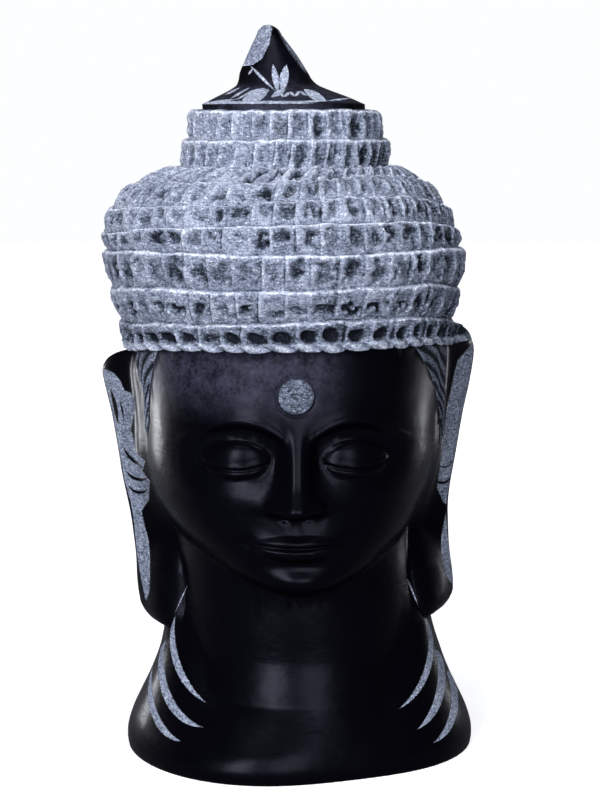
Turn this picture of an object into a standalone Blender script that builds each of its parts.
"""A carved stone head on a flared base, all in one stone.

Metres, +Z up. The face looks along -Y, +X is to the viewer's right, and the
underside is flat on z = 0 with the origin at its centre. The base and the neck
have sizes of their own. The head is a free form drawn in units of a 250th of
the whole height.
"""

import math

import bmesh
import bpy
import numpy as np

NAME = "stone_buddha_head"
HEIGHT = 0.250
U = HEIGHT / 250.0

# Base and neck
BASE_RADIUS = 0.0617
HEM_HEIGHT = 0.0065
HEM_ROUND = 0.0008
HEM_BLEND = 0.0034
NECK_RADIUS = 0.0458
NECK_FRONT_INSET = 0.0010
FLARE_TOP_SIDE = 0.0392
FLARE_TOP_FRONT = 0.0220
CORE_RADIUS = 0.0415
CORE_START_SIDE = 0.72
CORE_START_FRONT = 0.36

# The base is not quite round: it is flatter in front, a little to the right
BASE_FLAT = 0.0086
BASE_FLAT_TURN = math.radians(20.0)
BASE_FLAT_WIDTH = math.radians(37.0)

# Sideways wander of the axis by height: the head sits off the base and its tip leans
AXIS = [(34.0, 0.0), (60.0, -1.6), (75.0, -3.0), (90.0, -4.1), (106.0, -3.9), (122.0, -3.8),
        (140.0, -4.2), (155.0, -4.9), (172.0, -5.7), (186.0, -7.3), (196.0, -7.0), (203.0, -5.4),
        (219.0, -5.4), (226.0, -6.2), (231.0, -8.3), (240.0, -9.6), (250.0, -11.2)]
HEAD_SHIFT_Y = 2.0 * U
YAW = math.radians(3.0)
CHIN = 61.0 * U
HAIRLINE = 144.3 * U
FACE_HALF_WIDTH = 50.5 * U

# Rows of hair from the crown down: front height, tilt to the right, drop at the sides
ROWS = [
    (221.0, 0.0, 0.0),
    (211.3, 0.2, 0.0),
    (201.8, 0.2, 0.3),
    (198.0, 0.9, 2.5),
    (191.5, 1.2, 3.8),
    (184.3, 1.2, 4.2),
    (175.8, 0.3, 1.6),
    (164.6, 0.2, 3.9),
    (153.7, 0.7, 4.0),
    (144.3, 0.8, 3.3),
]
ROW_BLOCKS = [30, 36, 44, 50, 50, 50, 46, 46, 46]
TIERS = 2
TIER_RADII = [(31.6, 33.0), (34.4, 35.2)]
ROW_SWELL = [0.9, 0.9, 1.0, 1.3, 1.4, 1.5, 1.7, 1.5, 1.3]
BLOCK_SWELL = 1.1 * U
SCOOP_ROWS = {6: 0.9, 7: 0.9, 8: 1.9}
DOME = [(202.6, 35.8), (200.5, 40.0), (197.5, 46.8), (191.5, 54.0), (184.3, 58.4), (176.0, 60.2),
        (170.0, 60.4), (161.0, 59.2), (151.0, 56.8), (138.0, 55.2)]
DOME_FRONT = 1.05
DOME_BACK = 1.08
NAPE = 96.0 * U
NAPE_ROW = 11.0 * U
NAPE_THICKNESS = 4.0 * U

# Finial and its brim
BRIM_TOP = 223.2 * U
BRIM_RADIUS = 27.9 * U
FINIAL = [(250.0, 1.0), (249.3, 2.4), (246.0, 4.7), (242.0, 7.2), (238.0, 9.5), (234.0, 11.6),
          (230.8, 13.0), (229.6, 14.0), (228.0, 17.0), (225.6, 22.6), (223.2, 27.7)]
FACET_TURN = math.radians(-52.0)
FACET_RISE = 0.60
FACET_NEAR = 0.6 * U
FACET_FOOT = 232.0 * U

# Ears: top of each, the rim's distance from the axis by height, and its turn from the front
EAR_TOP_LEFT = 139.3 * U
EAR_TOP_RIGHT = 147.8 * U
EAR_FOOT_LEFT = 43.0 * U
EAR_FOOT_RIGHT = 46.0 * U
EAR_RIM = [(42.0, 54.4), (55.0, 55.4), (68.0, 54.9), (82.0, 55.5), (98.0, 58.4), (114.0, 61.7),
           (126.0, 64.4), (136.0, 66.0), (150.0, 66.0)]
EAR_MIDDLE = math.radians(83.0)
EAR_SPREAD_LOW = math.radians(8.0)
EAR_SPREAD_HIGH = math.radians(13.0)
EAR_SPREAD_LOBE = math.radians(4.0)
EAR_BACK = math.radians(14.0)

# Face levels, by thirds from hairline to chin
THIRD = (HAIRLINE - CHIN) / 3.0
BROW = HAIRLINE - THIRD
NOSE_BASE = BROW - THIRD
EYE_LINE = BROW - 0.30 * THIRD
MOUTH_LINE = NOSE_BASE - 0.34 * THIRD
EYE_WIDTH = 2.0 * FACE_HALF_WIDTH / 5.0

# Skull: distance from the axis by height, in front, at the side behind the ears, and at the back
SKULL_FRONT = [(60.0, 40.0), (61.5, 45.5), (64.0, 50.0), (68.0, 52.3), (74.0, 52.4), (80.0, 53.4),
               (90.0, 54.0), (102.0, 54.8), (110.0, 55.5), (118.0, 56.8), (128.0, 56.6),
               (138.0, 55.3), (150.0, 53.0)]
SKULL_SIDE = [(60.0, 42.0), (80.0, 45.5), (110.0, 50.0), (150.0, 52.0)]
SKULL_BACK = [(60.0, 43.0), (75.0, 45.5), (90.0, 49.0), (105.0, 52.5), (125.0, 55.5), (150.0, 57.0)]

# Fineness
COLUMNS = 420
RINGS = {"tip": 24, "brim": 12, "rim": 3, "row": 14, "ledge": 4, "face": 120, "neck": 18,
         "flare": 26, "hem": 5, "underside": 6}
TRIANGLES = 9200
MERGE = 0.000002


def smooth(low, high, value):
    """Rise from 0 at low to 1 at high, level at both ends; low may be above high."""
    share = np.clip((value - low) / (high - low), 0.0, 1.0)
    return share * share * (3.0 - 2.0 * share)


def hump(value, centre, width):
    """Bell curve, 1 at its centre."""
    return np.exp(-(((value - centre) / width) ** 2))


def soft_max(first, second, blend):
    """Larger of two values, with a fillet of about the blend where they meet."""
    share = np.clip(0.5 + 0.5 * (first - second) / blend, 0.0, 1.0)
    return second + (first - second) * share + blend * share * (1.0 - share)


def through(points, value):
    """Smooth curve through points given in units, as (place, size)."""
    places = np.array([p[0] for p in points]) * U
    sizes = np.array([p[1] for p in points]) * U
    order = np.argsort(places)
    places = places[order]
    sizes = sizes[order]
    slopes = np.gradient(sizes, places)
    value = np.clip(value, places[0], places[-1])
    cell = np.clip(np.searchsorted(places, value) - 1, 0, len(places) - 2)
    step = places[cell + 1] - places[cell]
    t = (value - places[cell]) / step
    rest = 1.0 - t
    return (
        sizes[cell] * (1.0 + 2.0 * t) * rest * rest
        + slopes[cell] * step * t * rest * rest
        + sizes[cell + 1] * t * t * (3.0 - 2.0 * t)
        - slopes[cell + 1] * step * t * t * rest
    )


def oval(turn, half_width, depth, power):
    """Distance from the axis to a superellipse with its depth along the face's direction."""
    across = (np.abs(np.sin(turn)) / half_width) ** power
    along = (np.abs(np.cos(turn)) / depth) ** power
    return (across + along) ** (-1.0 / power)


def base_radius(turn, height):
    """Flared base with a round hem, and the neck that stands in it."""
    sides = smooth(math.radians(34.0), math.radians(76.0), np.abs(turn))
    top = FLARE_TOP_FRONT + (FLARE_TOP_SIDE - FLARE_TOP_FRONT) * sides
    fall = (height - HEM_HEIGHT) / (top - HEM_HEIGHT)
    base = BASE_RADIUS - BASE_FLAT * hump(turn, BASE_FLAT_TURN, BASE_FLAT_WIDTH)
    flare = base - (base - NECK_RADIUS) * fall
    flare = -soft_max(-flare, -base + 0.0 * flare, HEM_BLEND)
    flare = flare - HEM_ROUND * (1.0 - np.clip(height / HEM_HEIGHT, 0.0, 1.0)) ** 2
    beside = smooth(math.radians(48.0), math.radians(80.0), np.abs(turn))
    neck = NECK_RADIUS - NECK_FRONT_INSET * (1.0 - beside)
    ahead = smooth(math.radians(112.0), math.radians(88.0), np.abs(turn))
    start = CORE_START_FRONT + (CORE_START_SIDE - CORE_START_FRONT) * beside
    slimmer = smooth(start * CHIN, (start + 1.0 - CORE_START_SIDE) * CHIN, height)
    neck = neck + (CORE_RADIUS - neck) * slimmer * ahead
    return soft_max(flare, neck, 0.0007 + 0.0080 * sides)


def skull_radius(turn, height):
    """Face and skull without features, an egg that narrows to the chin."""
    widest = BROW - 5.0 * U
    below = np.clip((widest - height) / (widest - CHIN + 1.2 * U), 0.0, 1.0)
    face = FACE_HALF_WIDTH * np.clip(1.0 - below ** 2.25, 0.0004, 1.0) ** 0.50
    face = face + 1.6 * U * smooth(widest, HAIRLINE, height)
    back = smooth(math.radians(80.0), math.radians(100.0), np.abs(turn))
    width = face + (through(SKULL_SIDE, height) - face) * back
    front = through(SKULL_FRONT, height)
    depth = np.where(np.abs(turn) > math.pi / 2.0, through(SKULL_BACK, height), front)
    shape = oval(turn, width, depth, 2.25)
    return shape * smooth(CHIN - 3.0 * U, CHIN, height)


def nose(across, height):
    """Straight ridge that widens to a rounded tip with two wings."""
    top = BROW + 1.0 * U
    tip = NOSE_BASE + 4.6 * U
    rise = np.clip((top - height) / (top - tip), 0.0, 1.0)
    out = np.abs(across)
    ridge = (1.2 + 8.6 * rise ** 1.2) * U * smooth(top + 7.0 * U, top - 4.0 * U, height)
    foot = NOSE_BASE - 0.8 * U + 0.10 * out
    under = smooth(foot, foot + 4.4 * U, height)
    half = (3.3 + 1.9 * rise ** 2) * U
    body = ridge / (1.0 + (out / half) ** 3)
    ball = 1.4 * U * hump(across, 0.0, 4.2 * U) * hump(height, tip, 4.0 * U)
    wing = 4.2 * U * hump(out, 0.31 * EYE_WIDTH, 2.9 * U) * hump(height, NOSE_BASE + 3.3 * U, 3.5 * U)
    nostril = -1.0 * U * hump(out, 3.7 * U, 1.5 * U) * hump(height, NOSE_BASE + 0.9 * U, 1.5 * U)
    return (body + ball + wing * (1.0 - 0.3 * body / (10.0 * U))) * under + nostril


def eyes(across, height):
    """Arched brows over shallow sockets, with round lowered lids."""
    out = np.abs(across)
    arch = np.clip((out - 3.0 * U) / (36.0 * U), 0.0, 1.0)
    brow = BROW - 3.5 * U + 7.5 * U * np.sin(math.pi * arch ** 0.85)
    inside = smooth(2.0 * U, 8.0 * U, out) * smooth(41.0 * U, 26.0 * U, out)
    deep = (4.6 - 2.6 * arch) * U
    below = smooth(brow + 0.9 * U, brow - 2.8 * U, height)
    above = smooth(EYE_LINE - 13.0 * U, EYE_LINE + 1.0 * U, height)
    socket = -deep * inside * below * above
    ridge = 0.8 * U * hump(height, brow + 1.0 * U, 2.2 * U) * inside
    centre = EYE_WIDTH
    reach = ((out - centre) / (0.56 * EYE_WIDTH)) ** 2 + ((height - EYE_LINE) / (6.4 * U)) ** 2
    lid = 4.2 * U * np.clip(1.0 - reach, 0.0, 1.0) ** 0.8
    bow = np.clip(1.0 - ((out - centre) / (0.55 * EYE_WIDTH)) ** 2, 0.0, 1.0)
    slit = EYE_LINE - 1.2 * U - 2.2 * U * bow
    fold = EYE_LINE + 1.0 * U + 4.6 * U * bow
    cut = -0.8 * U * hump(height, slit, 0.9 * U) * smooth(0.0, 0.5, bow)
    crease = -0.4 * U * hump(height, fold, 0.9 * U) * smooth(0.0, 0.6, bow)
    lower = 0.7 * U * hump(height, slit - 2.2 * U, 1.6 * U) * smooth(0.0, 0.7, bow)
    return socket + ridge + lid + cut + crease + lower


def mouth(across, height):
    """Full closed lips with slightly lifted corners, over a round chin."""
    out = np.abs(across)
    half = 0.76 * EYE_WIDTH
    line = MOUTH_LINE + 1.3 * U * (out / half) ** 2
    taper = np.clip(1.0 - (out / half) ** 2, 0.0, 1.0)
    bow = 4.6 * U * taper ** 0.8 - 0.7 * U * hump(across, 0.0, 2.2 * U)
    upper = 2.2 * U * smooth(line + bow + 0.6 * U, line + 0.35 * bow, height)
    upper = upper * smooth(line - 0.6 * U, line + 1.1 * U, height) * taper ** 0.9
    full = 5.2 * U * taper ** 0.6
    lower = 2.5 * U * smooth(line - full - 0.9 * U, line - 0.5 * full, height)
    lower = lower * smooth(line + 0.5 * U, line - 1.3 * U, height) * taper ** 0.9
    corner = -0.9 * U * hump(out, half + 0.8 * U, 2.2 * U) * hump(height, line, 2.4 * U)
    furrow = -0.5 * U * hump(across, 0.0, 1.9 * U) * hump(height, NOSE_BASE - 2.4 * U, 2.6 * U)
    hollow = -1.2 * U * hump(across, 0.0, 11.0 * U) * hump(height, MOUTH_LINE - 7.6 * U, 3.0 * U)
    chin = 1.9 * U * hump(across, 0.0, 9.5 * U) * hump(height, CHIN + 6.2 * U, 5.2 * U)
    mound = 0.9 * U * hump(across, 0.0, 17.0 * U) * hump(height, MOUTH_LINE + 1.0 * U, 9.5 * U)
    return upper + lower + corner + furrow + hollow + chin + mound


def features(turn, height, radius):
    """Forward relief of the face, as an addition to the distance from the axis."""
    across = radius * np.sin(turn)
    ahead = smooth(math.radians(72.0), math.radians(50.0), np.abs(turn))
    cheek = hump(np.abs(across), 25.0 * U, 13.0 * U) * hump(height, NOSE_BASE + 3.0 * U, 12.0 * U)
    relief = nose(across, height) + eyes(across, height) + mouth(across, height) + 1.5 * U * cheek
    return relief * ahead * np.cos(turn)


def ear_radius(turn, height, under):
    """Long ear that stands out from its root in front to a rim, hollow between them."""
    side = np.abs(turn)
    top = np.where(turn < 0.0, EAR_TOP_LEFT, EAR_TOP_RIGHT)
    rim = through(EAR_RIM, height)
    crown = np.clip((height - (top - 11.0 * U)) / (11.0 * U), 0.0, 1.0)
    low = np.where(turn < 0.0, EAR_FOOT_LEFT, EAR_FOOT_RIGHT)
    foot = np.clip((low + 7.0 * U - height) / (7.0 * U), 0.0, 1.0)
    reach = np.sqrt(np.clip(1.0 - crown ** 2, 0.0, 1.0) * np.clip(1.0 - foot ** 2, 0.0, 1.0))
    high = smooth(86.0 * U, 122.0 * U, height)
    lobe = smooth(80.0 * U, 62.0 * U, height)
    spread = EAR_SPREAD_LOW + (EAR_SPREAD_HIGH - EAR_SPREAD_LOW) * high + EAR_SPREAD_LOBE * lobe
    spread = spread * (0.25 + 0.75 * reach)
    middle = EAR_MIDDLE + 0.25 * (spread - EAR_SPREAD_LOW) - math.radians(3.0) * lobe
    rise = np.clip((side - middle + spread) / (2.0 * spread), 0.0, 1.0)
    front = rise ** (1.25 - 0.55 * lobe)
    hollow = -0.25 * hump(rise, 0.60, 0.20) * (0.25 + 0.75 * high) * (1.0 - lobe)
    roll = 0.07 * hump(rise, 0.96, 0.12)
    peak = middle + spread
    behind = 1.0 - smooth(peak, peak + EAR_BACK, side)
    share = (front + hollow + roll) * behind * reach
    return under + np.maximum(rim - under, 0.0) * share


def row_edge(index, turn):
    """Height of the upper edge of one row of hair round the head."""
    height, tilt, drop = ROWS[index]
    sides = smooth(math.radians(38.0), math.radians(88.0), np.abs(turn))
    wander = 0.45 * np.sin(3.0 * turn + 1.7 * index) * (1.0 if index > TIERS else 0.4)
    tilted = tilt * np.sin(2.0 * turn) * (np.abs(turn) < math.pi / 2.0)
    return (height + tilted - drop * sides + wander) * U


def lobe(share):
    """Section of one row: out in a quick round from its upper edge, then in again slowly."""
    over = np.sqrt(np.clip(1.0 - (1.0 - share / 0.24) ** 2, 0.0, 1.0))
    under = 1.0 - np.clip((share - 0.24) / 0.76, 0.0, 1.0) ** 1.7
    return np.where(share < 0.24, over, under)


def block_share(turn, count, seed):
    """Place within its block, 0 to 1 to the right, of each turn round a row of uneven blocks."""
    chance = np.random.default_rng(seed)
    widths = 1.0 + 0.16 * chance.uniform(-1.0, 1.0, count)
    edges = np.concatenate([[0.0], np.cumsum(widths / widths.sum())])
    place = (turn + math.pi) / (2.0 * math.pi) + 0.5 * chance.random() / count
    place = place - np.floor(place)
    cell = np.clip(np.searchsorted(edges, place, side="right") - 1, 0, count - 1)
    return (place - edges[cell]) / (edges[cell + 1] - edges[cell])


def hair_relief(index, turn, share):
    """Relief of one row: its lobe, the blocks cut into it and the scoops in some rows."""
    count = ROW_BLOCKS[index]
    lean = 0.9 if index == TIERS else 0.12
    place = block_share(turn + lean * (share - 0.5) * 2.0 * math.pi / count, count, 40 + index)
    step = 0.55 - place + np.clip((place - 0.9) / 0.1, 0.0, 1.0)
    notch = -0.6 * np.clip(1.0 - np.abs(place - 0.93) / 0.12, 0.0, 1.0)
    fade = np.sin(math.pi * np.clip(share, 0.0, 1.0)) ** 0.5
    relief = ROW_SWELL[index] * U * lobe(share) + BLOCK_SWELL * (step + notch) * fade
    if index in SCOOP_ROWS:
        middle = 0.62 if index < 8 else 0.66
        scoop = hump(place, 0.52, 0.24) * hump(share, middle, 0.17)
        relief = relief - SCOOP_ROWS[index] * U * scoop
    return relief


def dome_radius(turn, height):
    """Hair cap without its rows, deeper from front to back than it is wide."""
    width = through(DOME, height)
    even = smooth(203.0 * U, 196.0 * U, height)
    depth = np.where(np.abs(turn) > math.pi / 2.0, DOME_BACK, DOME_FRONT)
    return oval(turn, width, width * (1.0 + (depth - 1.0) * even), 2.1)


def nape_relief(turn, height):
    """Rows of hair that run on down behind the ears to the nape, plainer than those above."""
    behind = smooth(math.radians(104.0), math.radians(132.0), np.abs(turn))
    top = row_edge(len(ROWS) - 1, turn)
    low = top - (top - NAPE) * behind
    share = (top - height) / NAPE_ROW
    share = share - np.floor(share)
    place = block_share(turn, 46, 71)
    step = 0.5 - place + np.clip((place - 0.9) / 0.1, 0.0, 1.0)
    rows = 1.3 * U * lobe(share) + 0.7 * BLOCK_SWELL * step * np.sin(math.pi * share) ** 0.5
    thick = NAPE_THICKNESS * np.sqrt(np.clip((height - low) / (3.0 * U), 0.0, 1.0))
    within = smooth(low, low + 2.0 * U, height)
    return (thick + rows * within) * smooth(0.0, 0.3, behind)


def finial_radius(turn, height):
    """Pointed finial with a flat cut across its upper left, over a conical brim."""
    cone = through(FINIAL, height)
    facing = np.cos(turn - FACET_TURN)
    away = FACET_NEAR + FACET_RISE * (HEIGHT - height) + 8.0 * U * smooth(FACET_FOOT, BRIM_TOP, height)
    return np.minimum(cone, np.where(facing > 0.05, away / np.maximum(facing, 0.05), cone))


def axis_shift(height):
    """Sideways and backward place of the axis: the head sits off the base, and the tip leans."""
    return through(AXIS, height), HEAD_SHIFT_Y * smooth(0.6 * CHIN, 1.6 * CHIN, height)


def body_radius(turn, height):
    """Distance from the axis to the stone below the hairline."""
    head_turn = turn - YAW
    skull = skull_radius(head_turn, height)
    skull = skull + features(head_turn, height, skull) * smooth(CHIN - 1.0 * U, CHIN + 2.0 * U, height)
    stone = soft_max(skull, base_radius(turn, height), 0.0016)
    return stone + nape_relief(head_turn, height)


def zones(turn):
    """Zones of the meridian from the tip down: name, rings, upper and lower height, and shape."""
    ones = np.ones_like(turn)
    edges = [row_edge(index, turn - YAW) for index in range(len(ROWS))]
    listed = [
        ("tip", RINGS["tip"], HEIGHT * ones, 230.0 * U * ones, finial_radius),
        ("brim", RINGS["brim"], 230.0 * U * ones, BRIM_TOP * ones, finial_radius),
        ("rim", RINGS["rim"], BRIM_TOP * ones, edges[0], lambda t, h: BRIM_RADIUS + 0.0 * h),
    ]
    for index in range(len(ROWS) - 1):
        listed.append((index, RINGS["row"], edges[index], edges[index + 1], None))
    foot = edges[-1] - 1.2 * U
    listed += [
        ("ledge", RINGS["ledge"], edges[-1], foot, None),
        ("face", RINGS["face"], foot, CHIN * ones, body_radius),
        ("neck", RINGS["neck"], CHIN * ones, FLARE_TOP_SIDE * 1.12 * ones, body_radius),
        ("flare", RINGS["flare"], FLARE_TOP_SIDE * 1.12 * ones, HEM_HEIGHT * ones, body_radius),
        ("hem", RINGS["hem"], HEM_HEIGHT * ones, 0.0 * ones, body_radius),
    ]
    return listed


def zone_points(zone, turn):
    """Distance and height of one zone's points, evenly spaced along each meridian."""
    name, rings, upper, lower, shape = zone
    share = np.linspace(0.0, 1.0, 120)[None, :]
    turn = turn[:, None]
    upper = upper[:, None]
    lower = lower[:, None]
    height = upper + (lower - upper) * share
    if name == "ledge":
        above = dome_radius(turn - YAW, upper)
        below = body_radius(turn, lower)
        radius = above + (below - above) * smooth(0.0, 1.0, share)
    elif isinstance(name, int) and name < TIERS:
        near, far = TIER_RADII[name]
        radius = (near + (far - near) * share) * U + 0.0 * turn
    elif isinstance(name, int):
        radius = dome_radius(turn - YAW, height)
    else:
        radius = shape(turn, height)
    length = np.hypot(np.diff(radius, axis=1), np.diff(height, axis=1))
    along = np.concatenate([np.zeros((len(turn), 1)), np.cumsum(length, axis=1)], axis=1)
    wanted = along[:, -1:] * (np.arange(rings) / rings)[None, :]
    out_radius = np.empty((len(turn), rings))
    out_height = np.empty((len(turn), rings))
    for column in range(len(turn)):
        out_radius[column] = np.interp(wanted[column], along[column], radius[column])
        out_height[column] = np.interp(wanted[column], along[column], height[column])
    if isinstance(name, int):
        place = (upper - out_height) / (upper - lower)
        relief = hair_relief(name, turn - YAW, place)
        slope = np.gradient(out_radius, axis=1)
        fall = -np.gradient(out_height, axis=1)
        size = np.maximum(np.hypot(slope, fall), 1e-9)
        out_radius = out_radius + relief * fall / size
        out_height = out_height + relief * slope / size
    return out_radius, out_height


def column_turns(count):
    """Turns of the columns round the axis, closer together on the face and the ears."""
    fine = np.linspace(-math.pi, math.pi, 7201)
    side = np.abs(fine)
    density = 1.0 + 0.7 * smooth(math.radians(58.0), math.radians(40.0), side)
    density = density + 0.7 * hump(side, math.radians(88.0), math.radians(16.0))
    total = np.concatenate([[0.0], np.cumsum(0.5 * (density[1:] + density[:-1]))])
    return np.interp(np.arange(count) / count * total[-1], total, fine)


def surface():
    """Points of the whole surface as columns by rings, and the two end points."""
    turn = column_turns(COLUMNS)
    parts = [zone_points(zone, turn) for zone in zones(turn)]
    radius = np.concatenate([p[0] for p in parts], axis=1)[:, 1:]
    height = np.concatenate([p[1] for p in parts], axis=1)[:, 1:]
    hem = body_radius(turn, np.zeros_like(turn))[:, None]
    inward = 1.0 - (np.arange(RINGS["underside"]) / RINGS["underside"])[None, :]
    radius = np.concatenate([radius, hem * inward], axis=1)
    height = np.concatenate([height, np.zeros((COLUMNS, RINGS["underside"]))], axis=1)
    radius = ear_radius(turn[:, None] - YAW, height, radius)
    shift_x, shift_y = axis_shift(height)
    x = radius * np.sin(turn)[:, None] + shift_x
    y = -radius * np.cos(turn)[:, None] + shift_y
    return np.stack([x, y, height], axis=2)


def carve(stone, points):
    """Wrap a flat grid round the axis so that it lies along the carved surface, and close it."""
    columns, rings, _ = points.shape
    count = len(stone.data.vertices)
    place = np.empty(count * 3, dtype=np.float32)
    stone.data.vertices.foreach_get("co", place)
    place = place.reshape(-1, 3).astype(float)
    column = np.rint((place[:, 0] + 0.5) * columns).astype(int) % columns
    ring = np.rint((0.5 - place[:, 1]) * (rings + 1)).astype(int) - 1
    tip_x, tip_y = axis_shift(np.array([HEIGHT]))
    carved = points[column, np.clip(ring, 0, rings - 1)]
    carved[ring < 0] = (tip_x[0], tip_y[0], HEIGHT)
    carved[ring >= rings] = (0.0, 0.0, 0.0)
    carved = np.round(carved, 7)
    stone.data.vertices.foreach_set("co", carved.astype(np.float32).ravel())
    shape = bmesh.new()
    shape.from_mesh(stone.data)
    bmesh.ops.remove_doubles(shape, verts=shape.verts, dist=MERGE)
    bmesh.ops.recalc_face_normals(shape, faces=shape.faces)
    shape.to_mesh(stone.data)
    shape.free()


def thinned(stone):
    """Mesh of the stone with fewer faces, its underside exactly flat."""
    faces = sum(len(face.vertices) - 2 for face in stone.data.polygons)
    cut = stone.modifiers.new("fewer_faces", "DECIMATE")
    cut.ratio = TRIANGLES / faces
    view = bpy.context.evaluated_depsgraph_get()
    mesh = bpy.data.meshes.new_from_object(stone.evaluated_get(view))
    stone.modifiers.remove(cut)
    for vertex in mesh.vertices:
        if vertex.co.z < 0.00002:
            vertex.co.z = 0.0
    return mesh


def black_stone():
    """Polished near-black stone."""
    material = bpy.data.materials.new("black_stone")
    material.use_nodes = True
    shader = material.node_tree.nodes["Principled BSDF"]
    shader.inputs["Base Color"].default_value = (0.010, 0.010, 0.014, 1.0)
    shader.inputs["Roughness"].default_value = 0.32
    shader.inputs["Metallic"].default_value = 0.0
    return material


def main():
    """Build the one stone in a collection of its own."""
    for thing in list(bpy.data.objects):
        bpy.data.objects.remove(thing)
    points = surface()
    columns, rings, _ = points.shape
    bpy.ops.mesh.primitive_grid_add(x_subdivisions=columns, y_subdivisions=rings + 1, size=1.0)
    stone = bpy.context.object
    stone.name = NAME
    carve(stone, points)
    stone.data = thinned(stone)
    stone.data.name = NAME
    stone.data.shade_smooth()
    stone.data.set_sharp_from_angle(angle=math.radians(35.0))
    stone.data.materials.clear()
    stone.data.materials.append(black_stone())
    group = bpy.data.collections.new(NAME)
    bpy.context.scene.collection.children.link(group)
    for home in list(stone.users_collection):
        home.objects.unlink(stone)
    group.objects.link(stone)


main()
